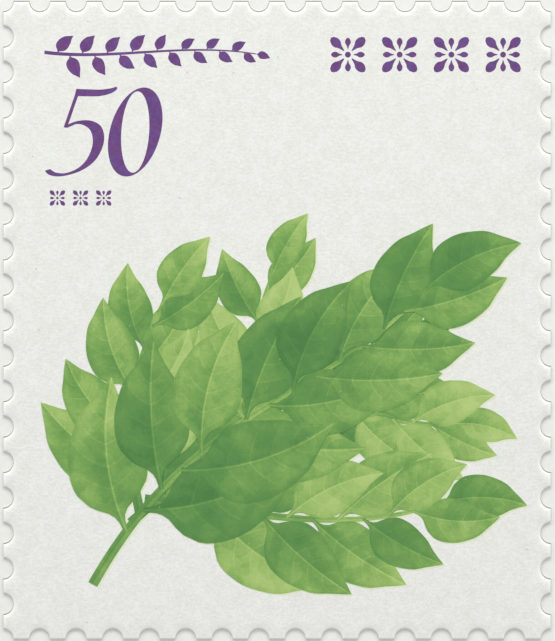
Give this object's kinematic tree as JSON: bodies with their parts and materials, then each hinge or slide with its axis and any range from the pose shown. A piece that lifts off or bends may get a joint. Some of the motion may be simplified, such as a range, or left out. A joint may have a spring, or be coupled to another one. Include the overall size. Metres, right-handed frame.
{
  "type": "self-adhesive postage stamp",
  "caption": "Upright rectangular paper stamp with a die-cut perforated edge, a printed face and an adhesive back, to stick on an envelope or card.",
  "frame": {"origin": "middle of the adhesive's underside, which lies on the surface that the stamp is stuck to", "axes": "+Z out of the printed face, +Y towards the top of the print, +X to the print's right"},
  "size_m": [0.0232, 0.027, 0.0001],
  "materials": {
    "stamp_paper": "matte, lightly coated white printing paper",
    "adhesive": "smooth, slightly glossy dried adhesive",
    "yellow_ink": "matte pale yellow printing ink under the green",
    "green_ink": "matte printing ink in washes of green",
    "violet_ink": "matte solid printing ink"
  },
  "bodies": {
    "root": {"printed_paper": "stamp_paper", "adhesive_coat": "adhesive"}
  },
  "joints": []
}
